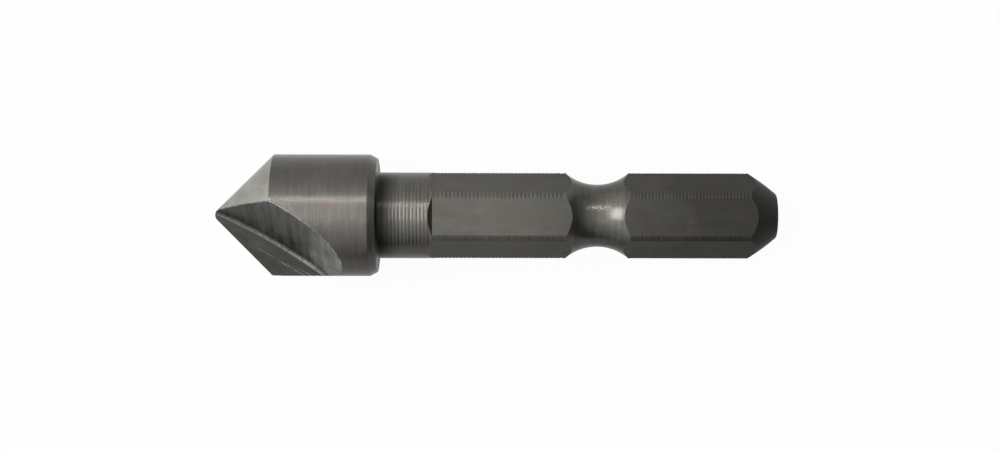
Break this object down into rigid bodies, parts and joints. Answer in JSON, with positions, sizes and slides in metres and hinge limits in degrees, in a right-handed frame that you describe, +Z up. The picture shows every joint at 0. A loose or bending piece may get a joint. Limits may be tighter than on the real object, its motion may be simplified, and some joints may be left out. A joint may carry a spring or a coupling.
{
  "type": "countersink bit",
  "caption": "Single-flute 90 degree countersink with a relieved cone, a turned neck and a quick-change hex shank with a ball groove, in one piece of tool steel.",
  "frame": {"origin": "centre of the bounding box's footprint, on the surface that the bit lies on", "axes": "+X from the cutting tip towards the shank's end, +Y across the bit, away from the cutting edge, +Z up; the bit lies on the back edge of its head and the end of one shank flat, so its own axis tips about 3.4 degrees, tip end up"},
  "size_m": [0.0462, 0.01, 0.0103],
  "materials": {
    "tool_steel": "bare turned, milled and ground high-speed steel, grey with a brown cast, unpolished"
  },
  "bodies": {
    "root": {"countersink_bit": "tool_steel"}
  },
  "joints": []
}
